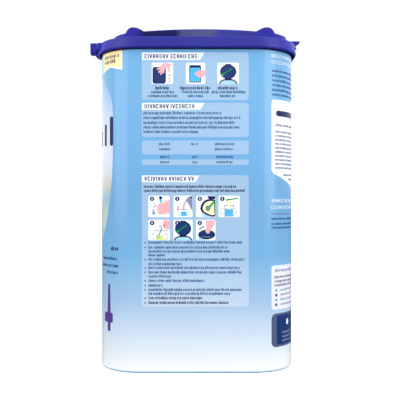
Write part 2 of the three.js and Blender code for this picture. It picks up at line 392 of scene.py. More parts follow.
# Plastics of the collar and the lid
COLLAR_SHINE = 0.18
LID_SHINE = 0.12
# Painted light on the collar: painted shade on its lowest edge up to this height above it, and painted
# light that brightens it towards its ends between these distances from the middle
SHADE_RISE = 0.5
PAINTED_LIGHT_FROM_X = 44
PAINTED_LIGHT_TO_X = 60
COLLAR_ENDS_PAINTED_LIGHT = srgb("2f31b2")
COLLAR_PAINTED_SHADE = srgb("0a0f46")

# Painted light along the pad's long walls, by X: a painted shadow beside the lugs and a painted grey sheen
# in the middle, with None for the lid's own colour
WALL_PAINTED_SHADOW_AND_SHEEN = [
    (-38.0, None), (-27.0, "0b0c4a"), (-13.0, "0c0d4e"), (-7.0, "434a78"),
    (8.0, "474e7a"), (15.0, "31358a"), (30.0, "2b2e84"), (38.0, None),
]


def closure_plastic(name, code, roughness, shine, shade):
    """Injection moulded polypropylene: satin, with a faint grain and a slight flow mottle.
    The shade adds painted shade and painted light to the colour, and may drive the shine."""
    nodes = Nodes(name)
    nodes.paint(shade(nodes, srgb(code)), 0.93, 1.07, 45)
    grain = nodes.spread(nodes.noise(260, 3), roughness - 0.05, roughness + 0.06)
    nodes.join(grain, nodes.shader.inputs["Roughness"])
    nodes.bump(nodes.noise(2600, 2), 0.12, 0.00012)
    put(nodes.shader, {"IOR": 1.49, "Specular IOR Level": shine})
    return nodes.material


def collar_painted_shade_and_light(nodes, colour):
    """The collar is matt at its lowest edge, with painted shade there, and painted light makes it a little
    brighter towards its ends.
    """
    edge = nodes.level("Z", COLLAR_LOW_Z, COLLAR_LOW_Z + SHADE_RISE)
    shine = nodes.reckon("MULTIPLY", edge, COLLAR_SHINE)
    nodes.join(shine, nodes.shader.inputs["Specular IOR Level"])
    ends = nodes.steps(nodes.reckon("ABSOLUTE", nodes.along("X")), PAINTED_LIGHT_FROM_X, PAINTED_LIGHT_TO_X)
    return nodes.blend(COLLAR_PAINTED_SHADE, nodes.blend(colour, COLLAR_ENDS_PAINTED_LIGHT, ends), edge)


def wall_painted_shadow_and_sheen(nodes, colour):
    """The pad's long walls: a painted shadow beside the lugs, with a painted grey sheen in the middle."""
    stops = [
        ((x + LID_HALF_X) / (2 * LID_HALF_X), srgb(code) if code else colour) for x, code in WALL_PAINTED_SHADOW_AND_SHEEN
    ]
    wall = nodes.ramp(nodes.level("X", -LID_HALF_X, LID_HALF_X), stops, "EASE")
    rim = nodes.level("Z", LID_EDGE_Z - 0.6, LID_EDGE_Z + 0.5)
    return nodes.blend(wall, colour, rim)


# Weight of the clear coat over bare film and over ink
FILM_COAT = 0.5
INK_COAT = 0.25

# The printed film by height: blue over most of the wall, fading to white above the foot, and a little
# darker at the top under the collar, which is painted shade
FILM_STOPS = [
    (0.0, "8dd2ff"), (1.15, "8dd2ff"), (1.35, "f6fafc"), (6.0, "edf3f8"), (13.0, "dee8f2"),
    (24.0, "c6d9eb"), (40.0, "a0c0e1"), (52.0, "8cb9de"), (66.0, "73adda"), (96.0, "6ea6d4"),
    (118.0, "6ca8da"), (145.0, "6daada"), (158.0, "6dabd9"), (170.0, "6aaad9"), (184.0, "639fd4"),
]

# The large pale oval by height: pale blue above, nearly white between, soft cream and blue low down
OVAL_STOPS = [
    (68.0, "81b4d7"), (76.0, "94c2d8"), (82.0, "b3cbc6"), (88.0, "bec8bc"), (93.0, "9ebcc3"),
    (98.0, "92b7c9"), (103.0, "b6c2ba"), (107.0, "cac8c4"), (113.0, "ccd5e2"), (120.0, "d0d9e7"),
    (134.0, "cdd9e7"), (146.0, "bdcfe7"), (153.0, "a2c2e8"), (164.0, "8fb5e6"),
]

# Its edge from top to bottom, as (s, z)
OVAL_EDGE = [
    (-66.5, 169.4), (-61.5, 167.2), (-58.5, 165.0), (-55.4, 162.0), (-52.0, 158.0), (-49.9, 154.0),
    (-48.8, 149.4), (-48.4, 144.3), (-48.3, 135.9), (-48.4, 124.6), (-48.7, 116.1), (-49.2, 108.8),
    (-50.1, 102.1), (-51.3, 95.6), (-53.2, 87.9), (-55.8, 80.4), (-59.6, 73.4), (-65.0, 68.4),
]


def film(name, whiten=(0.0, 0.0, 0.0)):
    """The glossy film wrapped round the tub. Whiten lays a share of pale ink over its blue."""
    nodes = Nodes(name)
    stops = [
        (z, tuple(c + (1 - c) * share for c, share in zip(srgb(code), whiten)) + (1.0,))
        for z, code in FILM_STOPS
    ]
    nodes.paint(nodes.height_ramp(stops), 0.985, 1.015, 22)
    finish_film(nodes, FILM_COAT)
    return nodes.material


def finish_film(nodes, coat):
    """Gloss of film or ink: a smooth coat over a slightly uneven wall."""
    nodes.join(nodes.spread(nodes.noise(180, 3), 0.26, 0.34), nodes.shader.inputs["Roughness"])
    nodes.bump(nodes.noise(40, 1), 0.02, 0.0004)
    put(nodes.shader, {"Specular IOR Level": 0.1, "Coat Weight": coat, "Coat Roughness": 0.16})


def oval_ink(name):
    """The ink of the large oval, laid over the film."""
    nodes = Nodes(name)
    nodes.paint(nodes.height_ramp([(z, srgb(code)) for z, code in OVAL_STOPS]), 0.98, 1.02, 30)
    finish_film(nodes, FILM_COAT)
    return nodes.material


def ink(name, code):
    """One colour of the print, with the faint unevenness of a laid-down ink."""
    nodes = Nodes(name)
    nodes.paint(srgb(code), 0.95, 1.05, 400)
    finish_film(nodes, INK_COAT)
    return nodes.material


# The pack's solids

def make_tub():
    rings = [
        rounded_ring(TUB_HALF - inset, TUB_HALF - inset, TUB_CORNER - inset, rise)
        for inset, rise in quarter_round(FOOT_ROUND)
    ]
    rings.append(rounded_ring(TUB_HALF, TUB_HALF, TUB_CORNER, TUB_TOP))
    tub = finish_mesh(loft(rings), "tub_wall", film("tub_film"))
    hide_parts("tub")


def lid_ring(inset, z, sag=0.0):
    scale = 1 - inset / LID_HALF_X
    return rounded_ring(
        LID_HALF_X - inset, LID_HALF_Y - inset, max(3.0, LID_CORNER - inset), z,
        bow_x=LID_BOW_X * min(1, scale), bow_y=LID_BOW_Y * min(1, scale),
        shift=LID_SHIFT, sag=sag * scale ** 2,
    )


def collar_ring(reach, z):
    return rounded_ring(
        TUB_HALF + reach + COLLAR_STRETCH, TUB_HALF + reach, TUB_CORNER + reach, z, shift=COLLAR_SHIFT,
    )


def inner_ring(z):
    """The collar's inner wall, which follows the tub."""
    half = TUB_HALF + JOINT_GAP
    return rounded_ring(half, half, TUB_CORNER + JOINT_GAP, z)


def make_ledge(side):
    """A short shelf of the collar under one end of the thumb tab."""
    inner = -(TUB_HALF + JOINT_GAP + 0.3)
    outline = [
        (inner, LEDGE_TOP_Z), (-LEDGE_REACH_X, LEDGE_TOP_Z), (-LEDGE_REACH_X + 1, LEDGE_LOW_Z + 0.5),
        (-LEDGE_REACH_X + 2.4, LEDGE_LOW_Z), (inner, LEDGE_LOW_Z + 0.2),
    ]
    ends = sorted((side * LEDGE_NEAR_Y, side * LEDGE_FAR_Y))
    return slab(outline, along_y, *ends, 0.25)


def make_cheek(side):
    """A cheek that squares the collar's corner beside the thumb tab."""
    inner = -CHEEK_REACH_X + 2.6
    outline = [
        (inner, CHEEK_LOW_Z), (inner, COLLAR_TOP_Z - 0.02),
        (-CHEEK_REACH_X, COLLAR_TOP_Z - 0.02), (-CHEEK_REACH_X - 0.3, CHEEK_LOW_Z),
    ]
    ends = sorted((side * CHEEK_NEAR_Y, side * CHEEK_FAR_Y))
    return slab(outline, along_y, *ends, 0.3)


def make_knuckle():
    """The bead behind that the lid turns on."""
    outline = [
        (TUB_HALF + 0.9, COLLAR_TOP_Z - 1),
        (TUB_HALF + COLLAR_TOP_REACH + 1, COLLAR_TOP_Z - 1),
    ]
    for step in range(11):
        angle = -QUARTER * 0.75 + QUARTER * 1.9 * step / 10
        outline.append((
            KNUCKLE_REACH_X - KNUCKLE_RADIUS + KNUCKLE_RADIUS * math.cos(angle),
            KNUCKLE_MIDDLE_Z + KNUCKLE_RADIUS * math.sin(angle),
        ))
    outline += [(TUB_HALF + 1.8, COLLAR_TOP_Z + 2), (TUB_HALF + 0.9, COLLAR_TOP_Z + 0.9)]
    return slab(outline, along_y, -KNUCKLE_HALF_WIDTH, KNUCKLE_HALF_WIDTH, 0.3)


def make_collar(material):
    rings = [inner_ring(TUB_TOP + JOINT_GAP), inner_ring(COLLAR_LOW_Z)]
    for inset, rise in quarter_round(COLLAR_UNDER_ROUND):
        rings.append(collar_ring(COLLAR_LOW_REACH - inset, COLLAR_LOW_Z + rise))
    for rise, inset in quarter_round(COLLAR_EDGE_ROUND):
        rings.append(collar_ring(COLLAR_TOP_REACH - inset, COLLAR_TOP_Z - rise))
    rings.append(lid_ring(-GUTTER_REACH, COLLAR_TOP_Z))
    rings.append(lid_ring(-GUTTER_REACH, COLLAR_TOP_Z - GUTTER_DEPTH))
    extras = [make(side) for make in (make_ledge, make_cheek) for side in (-1, 1)]
    body = merge(loft(rings), *extras, make_knuckle())
    collar = finish_mesh(body, "collar_cap", material)
    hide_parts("collar")


def make_pad():
    """The raised pad of the lid, with a shallow border line moulded into its top."""
    rings = [lid_ring(0, COLLAR_TOP_Z - GUTTER_DEPTH + JOINT_GAP)]
    crest = LID_EDGE_Z + LID_CROWN
    for rise, inset in quarter_round(LID_EDGE_ROUND):
        rings.append(lid_ring(inset, crest - rise, LID_CROWN))
    for inset, drop in ((6.0, 0.0), (6.4, 0.35), (7.2, 0.45), (8.0, 0.35), (8.4, 0.0)):
        rings.append(lid_ring(inset, crest - drop, LID_CROWN))
    reach = LID_HALF_Y - 8.0
    for step in range(1, 9):
        rings.append(lid_ring(8.4 + (reach - 8.4) * step / 8, crest, LID_CROWN))
    return loft(rings)


def make_lug(side_x, side_y):
    """A stacking lug: a smooth hump whose face runs out into the pad's wall on its inner side."""
    low = COLLAR_TOP_Z + JOINT_GAP
    outer = (LUG_BASE_OUTER, low)
    inner = (LUG_BASE_INNER, low)
    peak = (LUG_PEAK, LUG_TOP_Z)
    outline = [inner, outer]
    rise = (LUG_BASE_OUTER - 0.4, LUG_TOP_Z - 2.3)
    outline += bezier(outer, rise, (LUG_PEAK + 3.2, LUG_TOP_Z), peak, 16)
    run_out = (LUG_BASE_INNER + 7.4, low + 5)
    outline += list(bezier(peak, (LUG_PEAK - 3.2, LUG_TOP_Z), run_out, inner, 20))[:-1]
    placed = [(LID_SHIFT + side_x * a, b) for a, b in outline]
    ends = sorted((side_y * (LUG_FACE_Y - LUG_DEPTH), side_y * LUG_FACE_Y))
    return slab(placed, along_y, *ends, LUG_BEVEL, 4)


def make_tab():
    """The arched plate that the thumb lifts."""
    inner = TAB_HALF_WIDTH - TAB_LEG_WIDTH
    low, r, half = TAB_LOW_Z, TAB_CORNER, TAB_HALF_WIDTH
    right = [(0, TAB_ARCH_Z), (TAB_ARCH_HALF, TAB_ARCH_Z)]
    right += bezier(right[-1], (inner - 3.5, TAB_ARCH_Z), (inner, TAB_ARCH_Z - 1.4), (inner, low + r))
    right += bezier((inner, low + r), (inner, low), (inner, low), (inner + r, low), 5)
    right += [(half - r, low)]
    right += bezier((half - r, low), (half, low), (half, low), (half, low + r), 5)
    right += [(half, TAB_LEG_TOP_Z - r)]
    corner = (half, TAB_LEG_TOP_Z)
    right += bezier(right[-1], corner, corner, (half - r, TAB_LEG_TOP_Z), 5)
    right += bezier(
        (half - r, TAB_LEG_TOP_Z), (inner, TAB_LEG_TOP_Z + 0.6),
        (inner, TAB_BRIDGE_TOP_Z), (LIP_HALF_WIDTH, TAB_BRIDGE_TOP_Z),
    )
    left = [(-a, b) for a, b in reversed(right[1:])]
    return slab(right + left, along_x, -TAB_REACH_X, -TAB_REACH_X + TAB_THICKNESS, TAB_BEVEL)


def make_lip():
    """The lip between the pad and the thumb tab."""
    front = -TAB_REACH_X + 1.2
    back = LID_SHIFT - LID_HALF_X + 6
    outline = [(front, LIP_LOW_Z), (back, LIP_LOW_Z), (back, LIP_TOP_Z), (front, LIP_TOP_Z)]
    return slab(outline, along_y, -LIP_HALF_WIDTH, LIP_HALF_WIDTH, 0.4)


def make_flange():
    """The flange over the hinge, its tip a thin wedge over a notch."""
    root = LID_SHIFT + LID_HALF_X - 6
    bm = bmesh.new()
    stations = [
        (-FLANGE_HALF_WIDTH, 0.0), (-FLANGE_DENT_HALF - 2.2, 0.0), (-FLANGE_DENT_HALF, 1.0),
        (FLANGE_DENT_HALF, 1.0), (FLANGE_DENT_HALF + 2.2, 0.0), (FLANGE_HALF_WIDTH, 0.0),
    ]
    sections = []
    for y, dent in stations:
        tip = FLANGE_REACH_X - dent * (FLANGE_REACH_X - FLANGE_DENT_X)
        sections.append([Vector((x, y, z)) for x, z in (
            (root, COLLAR_TOP_Z + 2.2),
            (TUB_HALF + 0.2, COLLAR_TOP_Z + 2.2),
            (FLANGE_NOTCH_X, FLANGE_NOTCH_Z),
            (tip - 0.6, FLANGE_TIP_Z),
            (tip, FLANGE_TOP_Z - 0.3),
            (tip - 0.3, FLANGE_TOP_Z),
            (root, FLANGE_TOP_Z),
        )])
    rows = skin(bm, sections)
    caps = [bm.faces.new(rows[0]), bm.faces.new(rows[-1])]
    rims = {edge for cap in caps for edge in cap.edges}
    bmesh.ops.bevel(bm, geom=list(rims), offset=0.3, segments=3, profile=0.5, affect="EDGES")
    return bm


def make_lid(material):
    lugs = [make_lug(side_x, side_y) for side_x in (-1, 1) for side_y in (-1, 1)]
    body = merge(make_pad(), *lugs, make_tab(), make_lip(), make_flange())
    lid = finish_mesh(body, "lid_shut", material)
    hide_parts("lid")


# The print: flat shapes in (s, z), with s along the wall from the middle of the near side

FLAT_HALF = TUB_HALF - TUB_CORNER
CORNER_RUN = QUARTER * TUB_CORNER
SIDE_RUN = 2 * FLAT_HALF + CORNER_RUN
INK_STEP = 0.02
ORDER_STEP = 0.3
BEND_CUT = 1.2
INK_ROOT = -0.03


def wall_point(s, z, lift):
    """The point of the wall at s along it, lifted off by a hair."""
    side = math.floor((s + FLAT_HALF) / SIDE_RUN)
    along = s - side * SIDE_RUN
    out = TUB_HALF + lift
    if along <= FLAT_HALF:
        x, y = along, -out
    else:
        angle = (along - FLAT_HALF) / TUB_CORNER
        x = FLAT_HALF + (TUB_CORNER + lift) * math.sin(angle)
        y = -FLAT_HALF - (TUB_CORNER + lift) * math.cos(angle)
    turn = side * QUARTER
    return Vector((
        x * math.cos(turn) - y * math.sin(turn),
        x * math.sin(turn) + y * math.cos(turn),
        z,
    ))


class Print:
    """Collects the shapes of each ink and lays them on the wall as thin raised fields."""

    def __init__(self):
        self.rng = random.Random(7)
        self.shapes = {}
        self.order = 0

    def start(self):
        """Begins a group of shapes that may lie on each other, later ones on top."""
        self.order = 0

    def add(self, ink_name, outline, layer):
        self.shapes.setdefault(ink_name, []).append((outline, layer + ORDER_STEP * self.order))
        self.order += 1

    def block(self, ink_name, s0, z0, s1, z1, layer, r=0.0, steps=5):
        """A rectangle with round corners."""
        if not r:
            self.add(ink_name, [(s0, z0), (s1, z0), (s1, z1), (s0, z1)], layer)
            return
        outline = []
        corners = ((s1 - r, z1 - r), (s0 + r, z1 - r), (s0 + r, z0 + r), (s1 - r, z0 + r))
        for index, (cs, cz) in enumerate(corners):
            for step in range(steps + 1):
                angle = QUARTER * (index + step / steps)
                outline.append((cs + r * math.cos(angle), cz + r * math.sin(angle)))
        self.add(ink_name, outline, layer)

    def oval(self, ink_name, s, z, rs, rz, layer, start=0.0, end=2 * math.pi, steps=28):
        """An ellipse, or the part of one between two angles closed by a straight line."""
        whole = end - start > 2 * math.pi - 1e-6
        count = steps if whole else steps + 1
        turns = [start + (end - start) * i / steps for i in range(count)]
        outline = [(s + rs * math.cos(turn), z + rz * math.sin(turn)) for turn in turns]
        self.add(ink_name, outline, layer)

    def bar(self, ink_name, start, end, width, layer):
        """A straight stroke with round ends."""
        ds, dz = end[0] - start[0], end[1] - start[1]
        angle = math.atan2(dz, ds)
        outline = []
        for (cs, cz), first in ((end, angle - QUARTER), (start, angle + QUARTER)):
            for step in range(7):
                turn = first + math.pi * step / 6
                outline.append((cs + width / 2 * math.cos(turn), cz + width / 2 * math.sin(turn)))
        self.add(ink_name, outline, layer)

    def words(self, ink_name, s0, s1, z, height, layer=3):
        """A row of small upright and level strokes, in place of a line of words."""
        stroke = 0.26 * height
        width = 0.52 * height

        def mark(s):
            return self.mark(ink_name, s, z, width, height, stroke, layer)

        self.row(s0, s1, width, (3, 10), 0.2 * height, 0.34 * height, mark)

    def row(self, s0, s1, width, letters, gap, space, mark):
        """Marks side by side, in words whose count of letters lies between two numbers."""
        s = s0
        left_in_word = self.rng.randint(*letters)
        while s < s1 - width:
            s += mark(s) + gap
            left_in_word -= 1
            if not left_in_word:
                s += space
                left_in_word = self.rng.randint(*letters)

    def mark(self, ink_name, s, z, width, height, stroke, layer):
        """One mark of a row: one or two uprights, or an upright beside level strokes.
        Returns its width."""
        low, high = z - height / 2, z + height / 2
        kind = self.rng.choice(("one", "two", "two", "two", "tall", "levels", "levels", "levels", "deep"))
        if kind == "one":
            self.patch(ink_name, s, low, s + stroke, high + 0.4 * height, layer)
            return stroke
        if kind == "levels":
            self.patch(ink_name, s, low, s + stroke, high, layer)
            for level in (low, z - stroke * 0.3, high - stroke * 0.7):
                self.patch(ink_name, s + stroke, level, s + width, level + stroke * 0.7, layer)
            return width
        rise = 0.4 * height if kind == "tall" else 0.0
        drop = 0.34 * height if kind == "deep" else 0.0
        self.patch(ink_name, s, low - drop, s + stroke, high + rise, layer)
        self.patch(ink_name, s + width - stroke, low, s + width, high, layer)
        self.patch(ink_name, s + stroke, high - stroke * 0.8, s + width - stroke, high, layer)
        return width

    def patch(self, *where, **more):
        """A rectangle exactly at its layer."""
        self.start()
        self.block(*where, **more)

    def disc(self, *where, **more):
        """An ellipse exactly at its layer."""
        self.start()
        self.oval(*where, **more)

    def lay(self, materials):
        for ink_name, shapes in self.shapes.items():
            bm = bmesh.new()
            for outline, layer in shapes:
                self.lay_one(bm, outline, layer)
            finish_mesh(bm, "print_" + ink_name, materials[ink_name], math.radians(60))

    def lay_one(self, whole, outline, layer):
        """One shape, cut into narrow strips where the wall bends, with its rim sunk into the wall."""
        ends = [(s + FLAT_HALF) % SIDE_RUN for s, _ in outline]
        if max(ends) < 2 * FLAT_HALF and max(ends) - min(ends) < 2 * FLAT_HALF:
            top = [whole.verts.new(wall_point(s, z, INK_STEP * layer)) for s, z in outline]
            sunk = [whole.verts.new(wall_point(s, z, INK_ROOT)) for s, z in outline]
            whole.faces.new(top)
            for i in range(len(top)):
                j = (i + 1) % len(top)
                whole.faces.new((top[i], sunk[i], sunk[j], top[j]))
            return
        bm = bmesh.new()
        bm.faces.new([bm.verts.new((s, z, 0)) for s, z in outline])
        low = min(s for s, _ in outline)
        high = max(s for s, _ in outline)
        cut = math.ceil(low / BEND_CUT) * BEND_CUT
        while cut < high - 1e-6:
            along = (cut + FLAT_HALF) % SIDE_RUN - FLAT_HALF
            if cut > low + 1e-6 and along >= FLAT_HALF - BEND_CUT or abs(along + FLAT_HALF) < BEND_CUT:
                bmesh.ops.bisect_plane(
                    bm, geom=bm.verts[:] + bm.edges[:] + bm.faces[:],
                    plane_co=(cut, 0, 0), plane_no=(1, 0, 0), dist=1e-5,
                )
            cut += BEND_CUT
        rims = [edge for edge in bm.edges if len(edge.link_faces) == 1]
        skirt = bmesh.ops.extrude_edge_only(bm, edges=rims)["geom"]
        sunk = {item for item in skirt if isinstance(item, bmesh.types.BMVert)}
        lift = INK_STEP * layer
        for vertex in bm.verts:
            s, z, _ = vertex.co
            vertex.co = wall_point(s, z, INK_ROOT if vertex in sunk else lift)
        merge(whole, bm)


# Share of pale ink in red, green and blue on the panels, and the flat inks
PANEL_TINT = (0.2, 0.17, 0.06)
INKS = {
    "white": "f0f6fc", "tile": "f2f8fc", "tab": "e6eefa", "navy": "0e1f52", "deep": "16336a",
    "text": "24528a", "title": "211f55", "pink": "f0b0b4", "rose": "e0606c", "sky": "4fb4e4",
    "pale": "a6d4f0", "border": "4c5a7c", "teal": "63b4c4", "green": "189a50", "lime": "cfe08a",
    "cream": "f8f2c0", "gold": "fce4a6", "amber": "f6cf84", "slate": "55648a", "haze": "8087ad",
    "paper": "e2e5ec", "violet": "523c8a",
}


def make_print():
    art = Print()
    near_side(art)
    hinge_side(art)
    front_side(art)
    far_side(art)
    materials = {"panel": film("film_panel", PANEL_TINT), "oval": oval_ink("film_oval")}
    for name, code in INKS.items():
        materials[name] = ink("ink_" + name, code)
    art.lay(materials)


# Layout of the near side
PANEL_LEFT = -30.3
PANEL_RIGHT = 29.1
PANEL_ROUND = 1.8


def titled_panel(art, low, high, title_low, tab_right, title_right):
    """A pale panel with a white title tab whose right end slants."""
    art.block("panel", PANEL_LEFT, low, PANEL_RIGHT, high, 1, PANEL_ROUND)
    slant = 3.0
    outline = [
        (PANEL_LEFT, title_low), (tab_right - slant, title_low),
        (tab_right - slant + 1.2, title_low + 0.5), (tab_right, high), (PANEL_LEFT, high),
    ]
    art.start()
    art.add("tab", outline, 2)
    middle = (title_low + high) / 2
    letter_row(art, PANEL_LEFT + 1.5, title_right + 0.8, middle, 2.35)


def letter_row(art, s0, s1, z, height, ink_name="title", weight=0.2):
    """Tall uprights, slants and level strokes, in place of a row of capitals."""
    stroke = weight * height
    width = 0.55 * height
    low, high = z - height / 2, z + height / 2

    def letter(s):
        kind = art.rng.choice(("two", "bars", "slants", "one", "levels", "slants"))
        if kind in ("two", "bars", "one"):
            art.patch(ink_name, s, low, s + stroke, high, 3)
        if kind == "two":
            art.patch(ink_name, s + width - stroke, low, s + width, high, 3)
            art.patch(ink_name, s + stroke, z - stroke / 2, s + width - stroke, z + stroke / 2, 3)
        if kind == "bars":
            for level in (low, high - stroke):
                art.patch(ink_name, s + stroke, level, s + width, level + stroke, 3)
        if kind == "levels":
            for level in (low, z - stroke / 2, high - stroke):
                art.patch(ink_name, s, level, s + width, level + stroke, 3)
        if kind == "slants":
            foot = s + width / 2 - stroke / 2
            for head in (s - stroke * 0.3, s + width - stroke * 0.7):
                slant = [(foot, low), (foot + stroke, low), (head + stroke, high), (head, high)]
                art.start()
                art.add(ink_name, slant, 3)
        return stroke if kind == "one" else width

    art.row(s0, s1, width, (6, 9), 0.22 * height, 0.3 * height, letter)


class Motif:
    """A pictogram: simple shapes at their layers, in (s, z) from the middle of its tile."""

    def __init__(self, art, s, z):
        self.art, self.s, self.z = art, s, z

    def shape(self, ink_name, layer, points):
        self.art.start()
        self.art.add(ink_name, [(self.s + ds, self.z + dz) for ds, dz in points], layer)

    def box(self, ink_name, layer, s0, z0, s1, z1, r=0.0):
        s, z = self.s, self.z
        self.art.patch(ink_name, s + s0, z + z0, s + s1, z + z1, layer, r)

    def disc(self, ink_name, layer, ds, dz, rs, rz, steps=28, end=2 * math.pi):
        self.art.disc(ink_name, self.s + ds, self.z + dz, rs, rz, layer, end=end, steps=steps)

    def ring(self, ink_name, layer, ds, dz, rs, rz, width, inner="white"):
        """An outlined ellipse."""
        self.disc(ink_name, layer, ds, dz, rs, rz, 24)
        self.disc(inner, layer + 1, ds, dz, rs - width, rz - width, 24)

    def line(self, ink_name, layer, start, end, width):
        s, z = self.s, self.z
        self.art.start()
        self.art.bar(ink_name, (s + start[0], z + start[1]), (s + end[0], z + end[1]), width, layer)


def tile(art, s, z, width, height):
    """A white tile from its top left corner, and the pictogram in its middle."""
    art.patch("tile", s, z - height, s + width, z, 2, 0.8)
    return Motif(art, s + width / 2, z - height / 2)


def motif_lid(m):
    """A round dark lid with a green scoop clipped inside, over the domed pack."""
    m.disc("navy", 3, 0, -5.8, 5.1, 2.9, end=math.pi)
    m.disc("pale", 4, 0, -5.8, 4.3, 2.2, end=math.pi)
    m.shape("navy", 5, [(-2.0, -3.9), (2.0, -3.9), (1.7, -2.4), (-1.7, -2.4)])
    m.ring("navy", 6, 0, 0.9, 4.5, 4.0, 0.55, "deep")
    m.box("navy", 5.5, -1.7, 4.2, 1.6, 5.2, 0.3)
    m.line("green", 8, (-2.9, -0.6), (1.9, 2.6), 0.42)
    m.disc("green", 9, -3.0, -0.7, 0.8, 0.75, 16)


def motif_pack(m):
    """A dark pack and a rosy open hand that presses on it."""
    m.box("navy", 3, -5.5, -5.7, 1.9, 3.6, 1.3)
    m.box("deep", 4, -4.9, -5.1, 1.3, 3.0, 1.0)
    finger_tips = ((-2.6, 2.4), (-1.9, 0.7), (-0.8, -0.3), (0.5, 0.5), (3.6, 1.2))
    for index, tip in enumerate(finger_tips):
        root = (3.3, 4.6) if index == 4 else (1.2, 4.2)
        m.line("pink", 5 + 0.4 * index, root, tip, 1.0)
    m.shape("pink", 8, [
        (-1.4, 3.4), (0.4, 2.4), (3.1, 3.4), (4.6, 4.2), (5.0, 5.3), (1.6, 5.8), (0.2, 5.6),
    ])
    for start, end in (((3.3, -1.2), (4.5, -0.9)), ((3.1, -3.3), (4.5, -2.4)), ((3.5, -4.9), (4.3, -3.9))):
        m.line("slate", 3, start, end, 0.35)


def motif_tub(m):
    """A light blue tub with a dark outline and lid, held from the right."""
    m.box("navy", 3, -3.5, -5.1, 3.0, 4.3, 0.7)
    m.box("sky", 4, -3.1, -4.7, 2.6, 3.4, 0.5)
    m.box("navy", 5, -3.3, 3.2, 2.9, 4.6, 0.3)
    m.shape("pink", 6, [
        (-0.6, -0.2), (0.2, 0.6), (2.4, 1.7), (5.2, 1.9), (5.3, -1.2), (3.6, -2.2), (1.9, -2.2),
        (0.3, -1.3),
    ])
    m.shape("rose", 7, [(0.8, -0.2), (3.0, -0.1), (3.0, -0.25), (0.8, -0.35)])


def motif_wash(m):
    """A rosy hand under a small bottle, with drops beside it."""
    m.shape("pink", 3, [
        (-1.4, -1.2), (-0.8, 0.5), (0.3, 1.9), (1.9, 2.4), (3.3, 2.2), (4.2, 3.3), (6.0, 3.8),
        (6.0, -4.2), (3.3, -3.9), (1.4, -4.5), (-0.6, -4.2), (-1.1, -3.4), (-0.6, -2.6),
    ])
    m.box("sky", 4, 0.3, 2.3, 1.6, 4.0, 0.2)
    m.disc("navy", 5, 0.85, 4.8, 0.95, 0.85, 16)
    for ds, dz in ((3.0, 3.4), (3.3, -4.4), (-2.9, 1.7)):
        m.disc("slate", 4, ds, dz, 0.3, 0.25, 10)
    m.line("slate", 4, (-2.7, -0.3), (-1.7, 0.8), 0.5)
    m.line("slate", 4, (-3.5, -2.3), (-2.8, -1.5), 0.45)
    m.ring("slate", 4, -2.9, -3.6, 0.85, 1.0, 0.2, "sky")


def motif_pour(m):
    """Water poured from a grey spout into a cup, beside a red marker."""
    m.shape("haze", 3, [
        (5.2, 5.6), (5.2, -2.8), (3.9, -0.6), (2.6, 2.2), (1.4, 3.0), (2.3, 4.7), (3.4, 5.4),
    ])
    m.shape("navy", 4, [(3.4, 5.3), (5.2, 5.7), (5.2, 4.9), (4.2, 4.7)])
    m.line("slate", 3, (1.8, 2.9), (0.5, 1.0), 0.5)
    m.line("slate", 3, (0.5, 1.0), (0.4, -2.0), 0.5)
    m.line("rose", 3, (-2.8, 0.0), (-2.8, -2.3), 0.75)
    for ds in (-4.2, -3.1, -1.9):
        m.line("rose", 3, (ds, 1.0), (ds + 0.6, 1.3), 0.3)
    for side in (-1, 1):
        m.ring("haze", 3, 0.45 + side * 2.3, -4.1, 0.8, 1.4, 0.22)
    m.box("sky", 6, -1.0, -5.4, 1.9, -2.8, 0.6)
    m.line("slate", 6, (-1.9, -1.8), (2.8, -1.8), 0.25)


def motif_open(m):
    """The open pack, cream powder and a green scoop inside a dark rim."""
    m.shape("pale", 3, [(-2.5, -3.6), (2.6, -5.8), (-1.8, -5.8)])
    m.shape("navy", 4, [
        (-3.1, -1.4), (-2.7, 0.5), (-1.6, 2.4), (-0.2, 3.6), (1.4, 4.0), (5.3, 3.7), (5.3, -5.4),
        (3.7, -5.8), (2.0, -5.4), (-0.2, -4.5), (-2.2, -3.2),
    ])
    m.shape("cream", 5, [
        (-1.8, -1.3), (-1.3, 0.5), (-0.3, 2.0), (1.2, 2.8), (2.6, 3.0), (4.7, 2.9), (4.7, -2.2),
        (5.0, -4.5), (3.4, -4.9), (1.4, -4.1), (-0.8, -3.0),
    ])
    m.shape("navy", 6, [(0.8, 5.7), (5.3, 5.7), (5.2, 4.0), (1.9, 3.7)])
    m.line("green", 7, (2.3, -0.2), (4.8, 2.8), 1.1)
    m.ring("green", 8, 1.2, -1.0, 1.35, 1.5, 0.55, "haze")


def motif_cup(m):
    """Powder that falls from a green scoop into a two-handled cup."""
    for side in (-1, 1):
        m.ring("haze", 3, -0.1 + side * 3.1, -2.8, 1.4, 2.0, 0.26)
    m.box("white", 5, -2.5, -5.8, 2.4, 0.3)
    m.box("sky", 6, -2.5, -5.6, 2.3, -1.3, 0.3)
    for ds in (-2.6, 2.2):
        m.box("haze", 6, ds, -1.4, ds + 0.22, 0.3)
    m.line("slate", 6, (-2.7, 0.4), (2.8, 0.4), 0.35)
    m.shape("cream", 7, [(-0.7, 2.0), (0.9, 2.0), (0.6, -1.6), (-0.4, -1.6)])
    m.line("green", 8, (0.1, 3.7), (4.7, 4.6), 0.65)
    m.disc("green", 8.5, -0.3, 3.5, 1.3, 0.9, 16)
    m.disc("cream", 9, 0.1, 2.6, 1.1, 1.0, 16)


